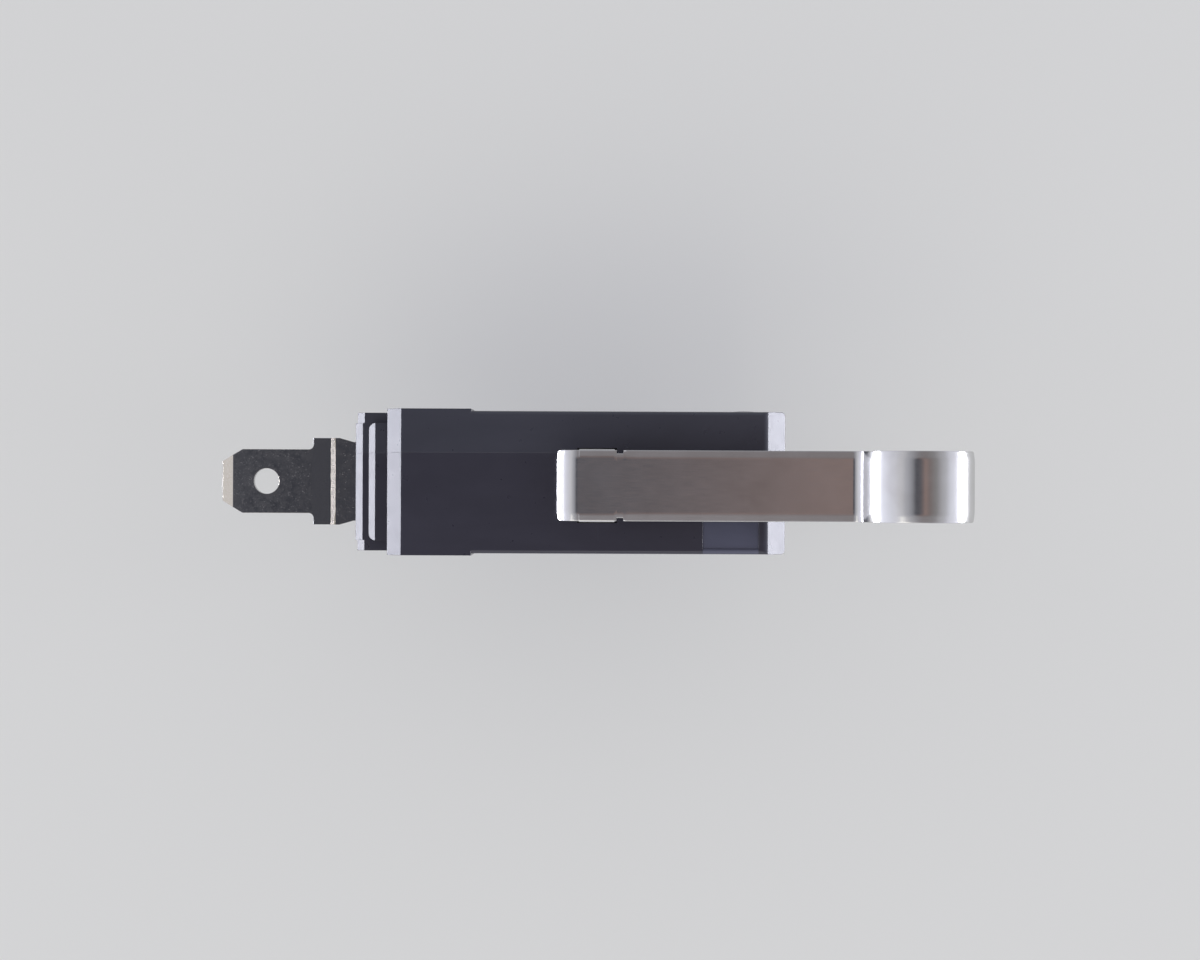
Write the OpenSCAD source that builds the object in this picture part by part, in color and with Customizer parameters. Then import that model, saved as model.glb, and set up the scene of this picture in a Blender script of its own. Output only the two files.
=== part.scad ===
// Snap-action micro switch with a hinged lever and quick-connect tabs.
// X runs from the common tab to the lever's free end, Y through the thickness, Z up to the lever.
// The origin lies midway between the two mounting holes, in the middle of the thickness.

/* [Body] */
// Length of the moulded body, without the terminal block
body_l = 27.8; // [27:0.1:32]
// Height of the body from its underside to its top face
body_h = 15.9; // [15.2:0.1:19]
// Thickness of the body between its side faces
body_w = 9.9; // [9.2:0.1:13]
// Wall at the ends and the underside
wall = 1.5; // [1:0.1:1.8]
// Wall at the two side faces
side_wall = 1.3; // [0.8:0.1:1.6]
// Wall at the top, which guides the plunger
top_wall = 1.7; // [1.5:0.1:2]
// Length of the bevel of the top face at the terminal block's end
end_bevel = 1.05; // [0.5:0.05:1.4]
// Length of the bevel of the top face at the lever's free end
free_bevel = 1.4; // [0.8:0.05:1.5]
// Slope of those bevels and of the block's bevels, down from the face above
bevel_slope = 40; // [35:1:50]
// Radius of the brow between the top face and the bevel at the lever's free end
brow_r = 0.6; // [0.3:0.1:1]
// Rounding of the two lower ends
foot_r = 0.5; // [0.2:0.1:1]
// Small rounding of the long edges
edge_r = 0.25; // [0.1:0.05:0.4]
// Place of the joint between case and cover
seam_y = 2.05; // [1.9:0.05:2.4]
// Place of the shallow recess in the top face
recess_x = 8.1; // [7.8:0.1:9]
// Length of the recess
recess_l = 3.9; // [2:0.1:4.2]
// Width of the recess
recess_w = 1.9; // [1:0.1:2.2]
// Distance of the recess from the side face
recess_in = 0.35; // [0.3:0.05:0.6]
// Depth of the recess
recess_depth = 0.1; // [0.05:0.05:0.3]
// Length of the bare panel sunk into each side face
sunk_l = 14.2; // [10:0.1:14.4]
// Height of the sunk panels
sunk_h = 10.4; // [8:0.1:11]
// Depth of the sunk panels
sunk_depth = 0.12; // [0.05:0.01:0.2]
// Rounding of the sunk panels' corners
sunk_r = 0.6; // [0.3:0.1:1.5]

/* [Mounting holes] */
// Distance of the two holes along the body
hole_dx = 22.2; // [21.6:0.1:23]
// Distance of the two holes up the body
hole_dz = 10.3; // [9.8:0.1:10.8]
// Diameter of the holes
hole_d = 3.1; // [2.5:0.1:3.3]
// Wall of the tube round each hole
boss_wall = 1.1; // [0.8:0.1:1.2]
// Height of the raised pads round the holes
pad_rise = 0.15; // [0.05:0.05:0.4]
// Reach of a raised pad from its hole towards the middle of the body
pad_reach = 3.1; // [2.4:0.1:4]

/* [Posts that hold the cover] */
// Diameter of a post
post_d = 1.6; // [1.2:0.1:1.8]
// Diameter of a post's formed head
head_d = 2.5; // [2.1:0.1:2.6]
// Height of a post's formed head
head_h = 0.4; // [0.3:0.05:0.6]
// Wall of the tube round each post
post_wall = 0.7; // [0.5:0.1:0.8]

/* [Terminal block] */
// How far the block stands out of the body's end
block_l = 2.75; // [2:0.05:4]
// Height of the block's lower step
block_top = 2.9; // [1.5:0.1:3.6]
// Height of the block's underside
block_bottom = -5; // [-6.5:0.1:-4]
// Bevel of the block's outer edges
block_bevel = 0.55; // [0.2:0.05:0.8]
// Rise of the upper step
step_rise = 0.5; // [0.3:0.05:0.8]
// Distance of the upper step from the block's face
step_in = 1; // [0.7:0.05:1.5]
// Width of the block's middle panel
panel_w = 8.4; // [7:0.1:8.8]
// How far the middle panel stands proud
panel_rise = 0.14; // [0.05:0.01:0.3]

/* [Lever] */
// Width of the lever's strip
lever_w = 4.85; // [4:0.05:5.2]
// Thickness of the strip
lever_t = 0.5; // [0.4:0.05:0.6]
// Rounding of the strip's long edges
lever_edge_r = 0.2; // [0.1:0.02:0.2]
// Offset of the lever's middle from the body's middle
lever_y = -0.2; // [-0.3:0.05:0]
// Slope of the free lever, in degrees
lever_slope = 0; // [0:0.5:3]
// Height of the strip's underside above the pivot
lever_lift = 1.3; // [1.2:0.05:1.5]
// Length of the flat from the pivot to the bend before the hump
lever_flat = 17.45; // [14:0.05:22]
// Outer radius of the rolled-down heel
heel_r = 1.6; // [1.2:0.1:1.8]
// Distance of the heel's start behind the pivot
heel_back = 1.29; // [1.2:0.01:1.5]
// Angle through which the heel turns down
heel_turn = 40; // [30:5:60]
// Length of the straight tail behind the heel
tail_l = 0.7; // [0.4:0.05:1]
// Upper radius of the bend before the hump
dip_r = 0.8; // [0.6:0.1:2]
// Upper radius of the hump
hump_r = 4.25; // [3:0.05:5]
// Straight length between the bend and the hump
flank_l = 0.25; // [0.2:0.05:1]
// Slope of the hump's two flanks, in degrees
hump_slope = 61; // [45:1:70]
// Radius of the pivot ears
ear_r = 1.2; // [1.05:0.05:1.3]
// Distance of the ears' front edge from the pivot
ear_front = 1.35; // [1.3:0.05:1.8]
// How far the ears stand outside the strip's edges
ear_proud = 0.07; // [0:0.01:0.1]
// Length and depth of the relief notches beside the ears
notch = 0.45; // [0.2:0.05:0.6]

/* [Pivot] */
// Place of the pivot along the body
pivot_x = 0.75; // [0:0.05:1]
// Height of the pivot above the top face
pivot_rise = 0.6; // [0.5:0.05:0.7]
// Diameter of the pivot pin
pin_d = 1.2; // [0.8:0.05:1.3]
// Wall of the lug round the pin
lug_wall = 0.35; // [0.25:0.05:0.4]

/* [Plunger] */
// Distance of the plunger from the pivot
plunger_off = 5.25; // [4.8:0.05:5.5]
// Length of the plunger along the body
plunger_l = 2.8; // [2.2:0.1:3.2]
// Width of the plunger across the body
plunger_w = 3.4; // [2.6:0.1:3.6]
// Radius of the plunger's domed top
dome_r = 3; // [2.4:0.1:4]
// Height of the plunger's collar inside the body
collar_h = 0.8; // [0.5:0.1:1]
// How far the collar stands out at each end
collar_out = 0.7; // [0.4:0.1:0.9]
// Radius of the nose under the plunger
nose_r = 0.6; // [0.4:0.1:0.7]

/* [Terminals] */
// Thickness of the terminal strips
strip_t = 0.5; // [0.4:0.05:0.6]
// Width of the tabs
tab_w = 4.75; // [4:0.05:5]
// Width of a tab's shoulders
shoulder_w = 6.45; // [5.6:0.05:6.8]
// Length of a tab from its shoulders to its tip
tab_l = 6.8; // [6:0.1:8]
// Diameter of the hole in a tab
tab_hole_d = 1.9; // [1.2:0.1:2.2]
// Distance of the hole from the tip
tab_hole_in = 3.3; // [2.5:0.1:3.6]
// Length of the bevel at the tip
bevel_l = 0.8; // [0.5:0.05:1.2]
// Thickness of the tip
tip_t = 0.1; // [0.05:0.05:0.3]
// Length of the chamfered corners at the tip
chamfer_l = 1.5; // [0.8:0.1:2]
// Width of the chamfered corners at the tip
chamfer_w = 0.9; // [0.4:0.1:1.2]
// Radius between a tab and its shoulders
root_r = 0.37; // [0.1:0.01:0.5]
// Width of the strips inside the body
inner_w = 4.4; // [3.4:0.1:5]
// Height of the common strip's root
com_z = -2.3; // [-3:0.05:-2]
// Length of the common strip's wide root outside the block
com_root = 3.74; // [3:0.02:5]
// Drop of the common tab below its root
joggle = 0.4; // [0.2:0.05:0.6]
// Length of the slope in that drop
joggle_l = 0.38; // [0.3:0.02:0.6]
// Distance of the slope from the tab's shoulders
joggle_in = 1.43; // [0.9:0.01:1.5]
// Distance from the block at which the root narrows
neck_in = 0.7; // [0.3:0.05:0.9]
// How much the root narrows at each side
neck_step = 0.3; // [0.2:0.02:0.5]
// Length over which the root narrows
neck_run = 1.05; // [0.4:0.05:1.2]
// Place of the make terminal along the body
no_x = -1.2; // [-2.5:0.1:0]
// Place of the break terminal along the body
nc_x = 6.2; // [5:0.1:7]
// Length of a bottom terminal's shoulders below the body
drop_root = 1.2; // [0.6:0.1:2]
// Gap between the two bottom terminals' strips inside
leg_gap = 0.6; // [0.4:0.05:0.8]
// Gap between the break terminal's strip and the mounting boss
boss_gap = 0.2; // [0.1:0.05:0.3]
// Middle radius of the bends in the strips
bend_r = 0.6; // [0.4:0.05:0.8]

/* [Mechanism] */
// Distance of the arms' seat from the cavity's end
seat_in = 5.8; // [5.2:0.1:6.4]
// Gap between the open contacts
contact_gap = 1; // [0.6:0.05:1.2]
// Diameter of the contacts
contact_d = 2.6; // [2:0.1:2.8]
// Height of a contact
contact_h = 0.5; // [0.3:0.05:0.6]
// Distance of the contacts from the break terminal's riser
contact_in = 3; // [2.8:0.1:3.6]
// Thickness of the contact arm
arm_t = 0.3; // [0.2:0.05:0.4]
// Width of the contact arm
arm_w = 4.2; // [3.6:0.1:4.6]
// Height of the actuating arm's seat above the contact arm's seat
seat_rise = 2.8; // [2.6:0.05:3]
// Thickness of the actuating arm
push_t = 0.4; // [0.3:0.05:0.5]
// Width of the actuating arm
push_w = 3; // [2:0.1:3.6]
// How far the actuating arm reaches past the plunger's nose
push_past = 0.3; // [0.1:0.05:0.4]
// Radius of the grooves that seat the arms
seat_r = 0.25; // [0.22:0.01:0.3]
// Height of the post above the upper seat
seat_top = 0.8; // [0.5:0.1:1]
// Distance of the spring's hook from the arms' seat
hook_in = 2.6; // [2.2:0.1:3]
// Width of the hook
hook_w = 0.7; // [0.5:0.05:0.8]
// Thickness of the hook
hook_t = 0.4; // [0.3:0.05:0.45]
// How far the hook reaches below the contact arm's seat
hook_foot = 0.45; // [0.3:0.05:0.6]
// Wire of the spring
wire_d = 0.25; // [0.2:0.01:0.3]
// Middle radius of the spring's coil
coil_r = 0.65; // [0.5:0.05:0.7]
// Number of turns of the spring
turns = 13; // [8:1:16]
// Inner radius of the spring's loop round the hook
loop_in_r = 0.6; // [0.55:0.01:0.65]
// Middle radius of the spring's eye in the contact arm
eye_r = 0.45; // [0.4:0.01:0.5]
// Diameter of the hole for the eye
eye_hole_d = 0.6; // [0.5:0.05:0.7]
// Distance of the contact arm's window from its contact
window_in = 1.8; // [1.6:0.05:2.2]

/* [Clearances] */
// Gap round a strip in its slot and a post in its hole
fit_gap = 0.05; // [0.02:0.01:0.1]
// Gap between the plunger and its guide, and beside the lever's ears
guide_gap = 0.1; // [0.05:0.01:0.15]
// Gap of the pin in the case's lug, which holds it
press_gap = 0.01; // [0.01:0.01:0.02]
// Running gap of the pin in the lever's ears
pin_gap = 0.05; // [0.02:0.01:0.08]
// Gap between parts that only touch
touch_gap = 0.05; // [0.04:0.01:0.06]
// Gap below and in front of the ears, and round the spring in its window
ear_gap = 0.2; // [0.1:0.05:0.3]

/* [Hidden] */
$fn = 64;
over = 1;

// Outside and inside of the body
end_x = body_l / 2;
top_z = body_h / 2;
// Degrees by which the brow meets the bevel flatter, so that the two cross cleanly
brow_crease = 4;
side_y = body_w / 2;
in_x = end_x - wall;
in_y = side_y - side_wall;
floor_z = wall - top_z;
ceiling_z = top_z - top_wall;
hole_r = hole_d / 2;
boss_r = hole_r + boss_wall;
post_tube_r = post_d / 2 + post_wall;

// Pivot and lever, with the lever's own axes along its flat and square to it
pin_z = top_z + pivot_rise;
pin_r = pin_d / 2;
lug_r = pin_r + lug_wall;
lug_w = lever_w - 2 * lever_t - 2 * touch_gap;
ear_out = lever_w / 2 + ear_proud;
strip_top = lever_lift + lever_t;
heel_z = strip_top - heel_r;
heel_mid = heel_r - lever_t / 2;
tail_x = -heel_back - heel_mid * sin(heel_turn);
tail_z = heel_z + heel_mid * cos(heel_turn);
dip_turn = hump_slope - lever_slope;
dip_z = strip_top + dip_r;
flank_lap = 0.05;
hair = 0.04;
strip_mid = strip_top - lever_t / 2;
flank_x = lever_flat + (dip_r + lever_t / 2) * sin(dip_turn);
flank_z = dip_z - (dip_r + lever_t / 2) * cos(dip_turn);
hump_x = flank_x + flank_l * cos(dip_turn) + (hump_r - lever_t / 2) * sin(dip_turn);
hump_z = flank_z + flank_l * sin(dip_turn) - (hump_r - lever_t / 2) * cos(dip_turn);

// Plunger, set by the free lever above it and the ceiling that stops its collar
plunger_x = pivot_x + plunger_off;
dome_z = pin_z + (lever_lift + plunger_off * sin(lever_slope) - dome_r - touch_gap) / cos(lever_slope);
collar_z = ceiling_z - 2 * touch_gap - collar_h;
nose_z = collar_z - nose_r / 2;

// Fixed contacts and terminals, stacked from the lower mounting boss upwards
nc_leg_z = -hole_dz / 2 + boss_r + boss_gap + strip_t / 2;
no_leg_z = nc_leg_z + strip_t + leg_gap;
no_face_z = no_leg_z + strip_t / 2 + contact_h;
riser_x = in_x - touch_gap - strip_t / 2;
contact_x = riser_x - strip_t / 2 - contact_in;
tilt_gap = 2 * touch_gap;
arm_rest_z = no_face_z + tilt_gap + contact_gap + contact_h + arm_t / 2;
nc_face_z = arm_rest_z + arm_t / 2 + contact_h + tilt_gap;
nc_top_z = nc_face_z + contact_h + strip_t / 2;

// Seats of the two arms on the common terminal's post
seat_x = seat_in - in_x;
arm_seat_z = arm_rest_z - contact_gap / 2;
arm_reach = contact_x - seat_x;
arm_slope = asin(contact_gap / 2 / arm_reach);
push_seat_z = arm_seat_z + seat_rise;
nose_dx = plunger_x - seat_x;
nose_dz = nose_z - push_seat_z;
nose_far = norm([nose_dx, nose_dz]);
push_slope = atan2(nose_dz, nose_dx) - asin((nose_r + touch_gap + push_t / 2) / nose_far);
push_end = nose_dx + nose_r + push_past;

// Common terminal along X
block_x = -end_x - block_l;
shoulder_x = block_x - com_root;
joggle_x0 = shoulder_x + joggle_in;
joggle_x1 = joggle_x0 + joggle_l;
neck_x = block_x - neck_in;
neck_w = shoulder_w - 2 * neck_step;

// Spring, in the contact arm's own axes from its seat
loop_r = loop_in_r + wire_d / 2;
loop_x = hook_in - 3 * touch_gap;
window_x0 = loop_x - loop_r - wire_d - ear_gap;
window_x1 = arm_reach - contact_d / 2 - window_in;
window_w = 2 * (loop_r + wire_d / 2 + ear_gap);
eye_x = window_x1 + eye_r - wire_d;
wire_sides = 8;
turn_steps = 12;
coil_x0 = loop_x + loop_r + 2 * wire_d;
coil_x1 = eye_x - eye_r - wire_d;

// Solid between two heights along Y, from an outline in X and Z
module across(y0, y1) {
    translate([0, y1, 0])
        rotate([90, 0, 0])
            linear_extrude(y1 - y0)
                children();
}

// Rectangle between two corners
module rect(x0, y0, x1, y1) {
    translate([x0, y0])
        square([x1 - x0, y1 - y0]);
}

// What a rounded corner takes off a square one; sx and sy point out of the corner
module corner_off(x, y, r, sx, sy) {
    difference() {
        rect(min(x, x - sx * r), min(y, y - sy * r), max(x, x - sx * r), max(y, y - sy * r));
        translate([x - sx * r, y - sy * r])
            circle(r);
    }
}

// What a bevelled corner takes off a square one; sx and sy point out of the corner
module bevel_off(x, y, c, sx, sy) {
    drop = c * tan(bevel_slope);
    polygon([[x - sx * c, y], [x - sx * c, y + sy * over], [x + sx * over, y + sy * over],
        [x + sx * over, y - sy * drop], [x, y - sy * drop]]);
}

// Rectangle about the origin with four rounded corners
module rounded_rect(w, h, r) {
    difference() {
        rect(-w / 2, -h / 2, w / 2, h / 2);
        for (sx = [-1, 1], sy = [-1, 1])
            corner_off(sx * w / 2, sy * h / 2, r, sx, sy);
    }
}

// Round bar along Y
module bar_y(x, z, r, y0, y1) {
    translate([x, y0, z])
        rotate([-90, 0, 0])
            cylinder(r = r, h = y1 - y0);
}

// The same child at the mounting holes, upper left and lower right
module at_holes() {
    for (s = [-1, 1])
        translate([s * hole_dx / 2, 0, -s * hole_dz / 2])
            children();
}

// The same child at the cover's posts, upper right and lower left
module at_posts() {
    for (s = [-1, 1])
        translate([s * hole_dx / 2, 0, s * hole_dz / 2])
            children();
}

// What the rounded brow takes off above the bevel at the lever's free end
module brow_off() {
    meet = bevel_slope - brow_crease;
    start = end_x - free_bevel - brow_r * (sin(meet) - (1 - cos(meet)) / tan(bevel_slope));
    difference() {
        rect(start, top_z - brow_r, start + brow_r * sin(bevel_slope), top_z + over);
        translate([start, top_z - brow_r])
            circle(brow_r);
    }
}

// Body outline from the side, with bevelled ends
module body_outline() {
    difference() {
        rect(-end_x, -top_z, end_x, top_z);
        bevel_off(-end_x, top_z, end_bevel, -1, 1);
        bevel_off(end_x, top_z, free_bevel, 1, 1);
        brow_off();
        for (s = [-1, 1])
            corner_off(s * end_x, -top_z, foot_r, s, -1);
    }
}

// Body without its cavity, all edges eased
module body_block() {
    intersection() {
        across(-side_y, side_y)
            body_outline();
        translate([-end_x, 0, 0])
            rotate([90, 0, 90])
                linear_extrude(body_l)
                    rounded_rect(body_w, body_h, edge_r);
        translate([0, 0, -top_z])
            linear_extrude(body_h)
                rounded_rect(body_l, body_w, edge_r);
    }
}

// Raised pad round one mounting hole, kept inside the body's outline
module hole_pads() {
    across(-side_y - pad_rise, side_y + pad_rise)
        intersection() {
            body_outline();
            for (s = [-1, 1])
                rect(s * hole_dx / 2 - (s > 0 ? pad_reach : over + end_x),
                    -s * hole_dz / 2 - (s > 0 ? over + top_z : pad_reach),
                    s * hole_dx / 2 + (s > 0 ? over + end_x : pad_reach),
                    -s * hole_dz / 2 + (s > 0 ? pad_reach : over + top_z));
        }
}

// One step of the terminal block: an outline with bevelled outer edges across a width
module block_step(x0, z0, z1, c, w) {
    across(-w / 2, w / 2)
        difference() {
            rect(x0, z0, -end_x + over, z1);
            bevel_off(x0, z1, c, -1, 1);
            bevel_off(x0, z0, c, -1, -1);
        }
}

// Stepped block that carries the common tab: cheeks, a proud middle panel and an upper step
module terminal_block() {
    block_step(block_x + panel_rise, block_bottom, block_top, block_bevel, body_w);
    block_step(block_x, block_bottom, block_top, block_bevel, panel_w);
    intersection() {
        block_step(block_x + step_in, block_bottom + step_rise, block_top + step_rise, step_rise, panel_w);
        translate([block_x + step_in + end_x, 0, block_bottom])
            linear_extrude(body_h)
                rounded_rect(2 * end_x, panel_w, step_rise);
    }
}

// Cavity outline: a rectangle less the tubes round holes and posts
module cavity_outline() {
    difference() {
        rect(-in_x, floor_z, in_x, ceiling_z);
        for (s = [-1, 1]) {
            translate([s * hole_dx / 2, -s * hole_dz / 2])
                circle(boss_r);
            translate([s * hole_dx / 2, s * hole_dz / 2])
                circle(post_tube_r);
        }
    }
}

// Pockets in the top face for the lever's ears
module ear_pockets() {
    for (s = [-1, 1])
        translate([pivot_x - ear_r - ear_gap, 0, pin_z - ear_r - ear_gap])
            translate([0, lever_y + (s > 0 ? lug_w / 2 : -ear_out - guide_gap), 0])
                cube([2 * (ear_r + ear_gap), ear_out + guide_gap - lug_w / 2, over + ear_r]);
}

// Slots for the three terminal strips
module terminal_slots() {
    slot_t = strip_t + 2 * fit_gap;
    translate([block_x - over, -neck_w / 2 - fit_gap, com_z - slot_t / 2])
        cube([block_l + wall + 2 * over, neck_w + 2 * fit_gap, slot_t]);
    for (x = [no_x, nc_x])
        translate([x - slot_t / 2, -shoulder_w / 2 - fit_gap, -top_z - over])
            cube([slot_t, shoulder_w + 2 * fit_gap, wall + 2 * over]);
}

// Everything that is taken out of case and cover alike
module body_hollows() {
    across(-in_y, in_y)
        cavity_outline();
    at_holes()
        bar_y(0, 0, hole_r, -body_w, body_w);
    translate([plunger_x, lever_y, ceiling_z - over])
        linear_extrude(top_wall + 2 * over)
            rounded_rect(plunger_l + 2 * guide_gap, plunger_w + 2 * guide_gap, edge_r + guide_gap);
    ear_pockets();
    terminal_slots();
}

// Hollow body before it is parted at the seam
module hollow_body() {
    difference() {
        union() {
            body_block();
            hole_pads();
            terminal_block();
        }
        body_hollows();
        side_panels();
    }
}

// Bare panels sunk into the two side faces
module side_panels() {
    across(side_y - sunk_depth, side_y + over)
        rounded_rect(sunk_l, sunk_h, sunk_r);
    across(-side_y - over, sunk_depth - side_y)
        rounded_rect(sunk_l, sunk_h, sunk_r);
}

// Half of space on one side of the seam
module beside_seam(y0, y1) {
    translate([-2 * body_l, y0, -2 * body_h])
        cube([4 * body_l, y1 - y0, 4 * body_h]);
}

// Lug between the lever's ears that holds the pivot pin
module pivot_lug() {
    across(lever_y - lug_w / 2, lever_y + lug_w / 2) {
        translate([pivot_x, pin_z])
            circle(lug_r);
        rect(pivot_x - lug_r, top_z - over, pivot_x + lug_r, pin_z);
    }
}

// Posts of the case with heads formed over the cover
module cover_posts() {
    at_posts() {
        bar_y(0, 0, post_d / 2, -in_y - over / 2, side_y - head_h);
        translate([0, side_y - head_h, 0])
            rotate([-90, 0, 0])
                cylinder(d1 = head_d, d2 = head_d - head_h, h = head_h);
    }
}

module case() {
    color([0.16, 0.16, 0.18]) {
        difference() {
            union() {
                intersection() {
                    hollow_body();
                    beside_seam(-body_w, seam_y);
                }
                pivot_lug();
            }
            bar_y(pivot_x, pin_z, pin_r + press_gap, lever_y - lug_w, lever_y + lug_w);
            top_recess();
        }
        cover_posts();
    }
}

// Shallow moulded recess in the top face near the free end
module top_recess() {
    translate([recess_x, recess_in - side_y, top_z - recess_depth])
        cube([recess_l, recess_w, over]);
}

module cover() {
    color([0.18, 0.18, 0.2])
        difference() {
            intersection() {
                hollow_body();
                beside_seam(seam_y, body_w);
            }
            at_posts() {
                bar_y(0, 0, post_d / 2 + fit_gap, 0, body_w);
                bar_y(0, 0, head_d / 2 + fit_gap, side_y - head_h - fit_gap, body_w);
            }
        }
}

// Section of the lever's strip, across its width and through its thickness
module strip_section(extra = 0) {
    rounded_rect(lever_w + 2 * extra, lever_t + 2 * extra, lever_edge_r);
}

// Straight part of the strip from a point on its middle, rising by an angle; a lap makes it
// reach into the bends at its ends, and a hair thicker, so that they fuse into one piece
module strip_run(x, z, slope, length, lap = 0) {
    translate([x, 0, z])
        rotate([0, -slope, 0])
            rotate([90, 0, 90])
                translate([0, 0, -lap])
                    linear_extrude(length + 2 * lap)
                        strip_section(lap * hair);
}

// Part of the strip bent through an angle about a line along Y, at the radius of its middle
module strip_bend(x, z, mid_r, from, sweep) {
    translate([x, 0, z])
        rotate([90, 0, 0])
            rotate([0, 0, from])
                rotate_extrude(angle = sweep)
                    translate([mid_r, 0])
                        rotate(90)
                            strip_section();
}

// Two ears bent down from the strip round the pivot
module lever_ears() {
    bend = lever_t + lever_edge_r;
    intersection() {
        translate([-ear_r, 0, 0])
            rotate([90, 0, 90])
                linear_extrude(ear_r + ear_front)
                    difference() {
                        translate([0, strip_top - 2 * ear_r])
                            rounded_rect(2 * ear_out, 4 * ear_r, bend);
                        rect(-ear_out + lever_t, -4 * ear_r, ear_out - lever_t, lever_lift);
                    }
        across(-lever_w, lever_w) {
            circle(ear_r);
            polygon([[-ear_r, 0], [ear_r, 0], [ear_front, lever_lift],
                [ear_front, strip_top], [-ear_r, strip_top]]);
        }
    }
}

module lever() {
    color([0.72, 0.72, 0.72])
        translate([pivot_x, lever_y, pin_z])
            rotate([0, -lever_slope, 0])
                difference() {
                    union() {
                        strip_run(tail_x, tail_z, heel_turn - 180, tail_l, flank_lap);
                        strip_bend(-heel_back, heel_z, heel_mid, 90, heel_turn);
                        strip_run(-heel_back, strip_mid, 0, heel_back + lever_flat);
                        strip_bend(lever_flat, dip_z, dip_r + lever_t / 2, -90, dip_turn);
                        strip_run(flank_x, flank_z, dip_turn, flank_l, flank_lap);
                        strip_bend(hump_x, hump_z, hump_r - lever_t / 2,
                            90 - lever_slope - hump_slope, 2 * hump_slope);
                        lever_ears();
                    }
                    bar_y(0, 0, pin_r + pin_gap, -lever_w, lever_w);
                    for (s = [-1, 1])
                        translate([ear_front, s > 0 ? lever_w / 2 - notch / 2 : -lever_w / 2 - over, 0])
                            cube([notch, notch / 2 + over, strip_top + over]);
                }
}

module pivot_pin() {
    color([0.8, 0.8, 0.82])
        bar_y(pivot_x, pin_z, pin_r, lever_y - ear_out, lever_y + ear_out);
}

module plunger() {
    body_top = dome_z + dome_r;
    color([0.85, 0.83, 0.78])
        translate([plunger_x, lever_y, 0]) {
            intersection() {
                translate([0, 0, collar_z])
                    linear_extrude(body_top - collar_z)
                        rounded_rect(plunger_l, plunger_w, edge_r);
                union() {
                    bar_y(0, dome_z, dome_r, -plunger_w, plunger_w);
                    translate([-plunger_l, -plunger_w, collar_z])
                        cube([2 * plunger_l, 2 * plunger_w, dome_z - collar_z]);
                }
            }
            translate([0, 0, collar_z])
                linear_extrude(collar_h)
                    rounded_rect(plunger_l + 2 * collar_out, plunger_w, edge_r);
            across(-plunger_w / 2, plunger_w / 2) {
                translate([0, nose_z])
                    circle(nose_r);
                rect(-nose_r, nose_z, nose_r, collar_z + collar_h / 2);
            }
        }
}

// Tab outline from its shoulders at 0 to its tip, with chamfered corners and a hole
module tab_outline() {
    difference() {
        union() {
            polygon([[-over, -tab_w / 2], [tab_l - chamfer_l, -tab_w / 2], [tab_l, -tab_w / 2 + chamfer_w],
                [tab_l, tab_w / 2 - chamfer_w], [tab_l - chamfer_l, tab_w / 2], [-over, tab_w / 2]]);
            for (s = [-1, 1])
                corner_off(0, s * tab_w / 2, root_r, -1, -s);
        }
        translate([tab_l - tab_hole_in, 0])
            circle(d = tab_hole_d);
    }
}

// Wedges that bevel both faces of a tab's tip
module tip_bevels() {
    for (s = [-1, 1])
        rotate([90, 0, 0])
            linear_extrude(2 * tab_w, center = true)
                polygon([[tab_l - bevel_l, s * strip_t / 2], [tab_l, s * tip_t / 2],
                    [tab_l + over, s * tip_t / 2], [tab_l + over, s * strip_t],
                    [tab_l - bevel_l, s * strip_t]]);
}

// Strip outline along a path with square turns, each bent round the same radius
module bent_strip(path) {
    last = len(path) - 1;
    for (i = [0 : last - 1]) {
        along = (path[i + 1] - path[i]) / norm(path[i + 1] - path[i]);
        a = path[i] + (i > 0 ? bend_r : 0) * along;
        b = path[i + 1] - (i < last - 1 ? bend_r : 0) * along;
        side = [abs(along[1]), abs(along[0])] * strip_t / 2;
        rect(min(a[0], b[0]) - side[0], min(a[1], b[1]) - side[1],
            max(a[0], b[0]) + side[0], max(a[1], b[1]) + side[1]);
    }
    for (i = [1 : last - 1]) {
        along = (path[i] - path[i - 1]) / norm(path[i] - path[i - 1]);
        away = (path[i + 1] - path[i]) / norm(path[i + 1] - path[i]);
        out = along - away;
        reach = bend_r + strip_t / 2;
        translate(path[i] - bend_r * out)
            intersection() {
                difference() {
                    circle(reach);
                    circle(bend_r - strip_t / 2);
                }
                rect(min(0, reach * out[0]), min(0, reach * out[1]),
                    max(0, reach * out[0]), max(0, reach * out[1]));
            }
    }
}

// Side view of the common strip: the tab, the joggle, the root and the post inside
module com_profile() {
    half = strip_t / 2;
    rect(shoulder_x - tab_l, com_z - joggle - half, joggle_x0, com_z - joggle + half);
    polygon([[joggle_x0 - half / 2, com_z - joggle - half], [joggle_x0 + half / 2, com_z - joggle - half],
        [joggle_x1 + half / 2, com_z - half], [joggle_x1 + half / 2, com_z + half],
        [joggle_x1 - half / 2, com_z + half], [joggle_x0 - half / 2, com_z - joggle + half]]);
    bent_strip([[joggle_x1, com_z], [seat_x - half, com_z], [seat_x - half, push_seat_z + seat_top]]);
}

// Plan of the common strip: the tab, its shoulders, the neck in the block and the inner strip
module com_plan() {
    translate([shoulder_x, 0])
        mirror([1, 0])
            tab_outline();
    polygon([[shoulder_x, -shoulder_w / 2], [neck_x - neck_run, -shoulder_w / 2], [neck_x, -neck_w / 2],
        [-in_x, -neck_w / 2], [-in_x, neck_w / 2], [neck_x, neck_w / 2],
        [neck_x - neck_run, shoulder_w / 2], [shoulder_x, shoulder_w / 2]]);
    rect(-in_x - over / 2, -inner_w / 2, seat_x + over, inner_w / 2);
}

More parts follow.
